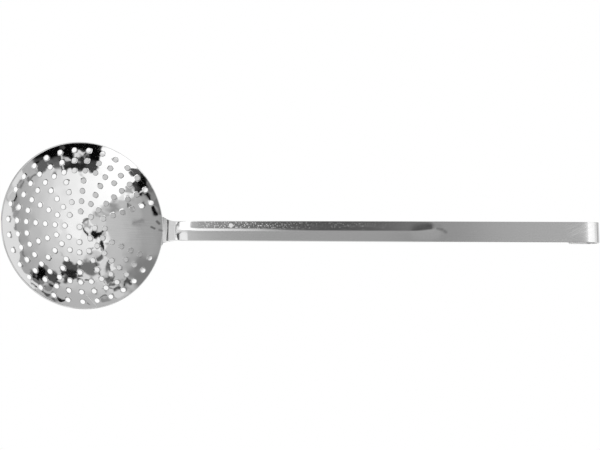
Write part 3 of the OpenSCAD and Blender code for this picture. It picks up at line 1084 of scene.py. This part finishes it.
# Near the holes' edges the steel is rougher, and its colour is darker by half: painted shade round each hole.
roughness = 0.03 + shop.step(clouds, 0.45, 0.75) * 0.04 + fine * 0.012 + over_weld * 0.05 + scratch * 0.3 + lip * 0.08
base = shop.grey((0.695 + clouds * 0.04 + (lines - 0.5) * over_weld * 0.2 + scratch * 0.22) * (1 - lip * 0.5) * (1 - smudge * 0.62))
height = shop.noise(place, 130, 1) + lines * over_weld * 0.12
bump = shop.node("ShaderNodeBump", {"Strength": 1.0, "Distance": 0.00006, "Height": height})
steel = shop.node("ShaderNodeBsdfPrincipled", {
    "Base Color": base, "Metallic": 1.0, "Roughness": roughness, "Normal": bump})
shop.node("ShaderNodeOutputMaterial", {"Surface": steel})
set_material(bowl, polished)
print("polished steel nodes:", len(polished.node_tree.nodes))

# %% [markdown]
# ## Satin steel
# The handle is the same steel with a duller face. It has fine lines along the strip, small
# clouds, pits on the far side of the trough near the bowl, and a fan of scratches by the
# hook. The flat blank's own coordinates carry these marks round the bends.

# %% Marks of the handle
satin, shop = new_material("satin_steel")
blank = shop.node("ShaderNodeAttribute", out=1, attribute_name="blank")
x, y, z = shop.axes(blank)


def window(shop, value, start, end, soft):
    """1 between two limits, with soft ends."""
    return shop.step(value, start - soft, start + soft) * shop.step(value, end - soft, end + soft, (1, 0))


brushed = shop.noise(shop.vector(x * 14, y * 1100), 1.0, 3)
clouds = shop.noise(blank, 70, 3)
mottle = shop.noise(blank, 700, 3)
pits = shop.step(shop.noise(blank, 760, 2), 0.56, 0.66)
pitted = window(shop, x, 0.035, 0.095, 0.012) * window(shop, y, 0.0024, 0.0078, 0.0012)
pitted = pitted + window(shop, x, 0.095, 0.2, 0.02) * window(shop, y, 0.002, 0.0078, 0.001) * 0.35
fan = shop.noise(shop.vector(x * 60 + y * 28, y * 1500 - x * 700), 1.0, 2)
fan = shop.step(fan, 0.48, 0.66) * window(shop, x, 0.354, 0.374, 0.007) * window(shop, y, -0.0045, 0.0075, 0.0025)
specks = pits * window(shop, x, 0.338, 0.356, 0.005) * window(shop, y, -0.0082, -0.006, 0.0008)
hairs = shop.noise(shop.vector(x * 60 + y * 40, y * 1500 - x * 300), 1.0, 1)
hairs = shop.step(hairs, 0.7, 0.78)


def round_spot(shop, x, y, centre, reach, soft):
    """1 at a spot on the flat blank, and 0 round it."""
    gap = shop.vectors("DISTANCE", shop.vector(x, y), (*centre, 0), out=1)
    return shop.step(gap, reach - soft, reach + soft, (1, 0))


chip = round_spot(shop, x, y, (0.0609, 0.0047), 0.0018, 0.0006)
# Dark patches where the trough runs out: painted shade for the dark reflection of a small dent there.
painted_dent_shade = shop.most(
    near_line(shop, shop.vector(x, y), (0.2415, 0.0028), (0.2456, 0.0017), 0.0012, 0.0013) * 0.8,
    near_line(shop, shop.vector(x, y), (0.2474, 0.0004), (0.2486, -0.0004), 0.0012, 0.0012) * 0.7)
painted_dent_shade = shop.most(painted_dent_shade, 0.35 * near_line(
    shop, shop.vector(x, y), (0.2330, 0.0060), (0.2430, 0.0046), 0.0018, 0.0026))
print("marks ready")

# %% The handle's material
roughness = 0.06 + brushed * 0.04 + clouds * 0.04 + fan * 0.03 + hairs * 0.06
roughness = roughness + pits * pitted * 0.45 + chip * 0.5
base = 0.72 + brushed * 0.04 + mottle * 0.09 + fan * 0.13 + hairs * 0.06 + specks * 0.2 + chip * 0.3
# From the start of the hook's tight fold the colour is darker: painted shade on the fold.
base = base * (1 - painted_dent_shade * 0.5) * shop.step(x, 0.3757, 0.3790, (1, 0.78))
leg = shop.step(x, 0.391, 0.397)     # past the fold the leg is rougher, and its colour raised to white: painted light on its side
base = shop.grey(shop.blend(leg, base, 1.0))
roughness = shop.blend(leg, roughness, 0.8)
height = brushed * 0.12 + mottle * 0.15 + pits * pitted * 1.2
bump = shop.node("ShaderNodeBump", {"Strength": 0.5, "Distance": 0.00004, "Height": height})
steel = shop.node("ShaderNodeBsdfPrincipled", {
    "Base Color": base, "Metallic": 1.0, "Roughness": roughness, "Normal": bump})
shop.node("ShaderNodeOutputMaterial", {"Surface": steel})
set_material(handle, satin)
print("satin steel nodes:", len(satin.node_tree.nodes))

# %% The welds' material
melted, shop = new_material("weld_steel")
place = shop.node("ShaderNodeTexCoord", out=3)
rings = shop.noise(place, 400, 2)
steel = shop.node("ShaderNodeBsdfPrincipled", {
    "Base Color": shop.grey(0.45 + rings * 0.2), "Metallic": 1.0, "Roughness": 0.35 + rings * 0.1})
shop.node("ShaderNodeOutputMaterial", {"Surface": steel})
for thing in bpy.data.objects:
    if thing.name.startswith("weld_nuggets"):
        set_material(thing, melted)

# %% Size of the visual pieces
low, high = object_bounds()
print("visual box, mm:", [round(1000 * (b - a), 1) for a, b in zip(low, high)])
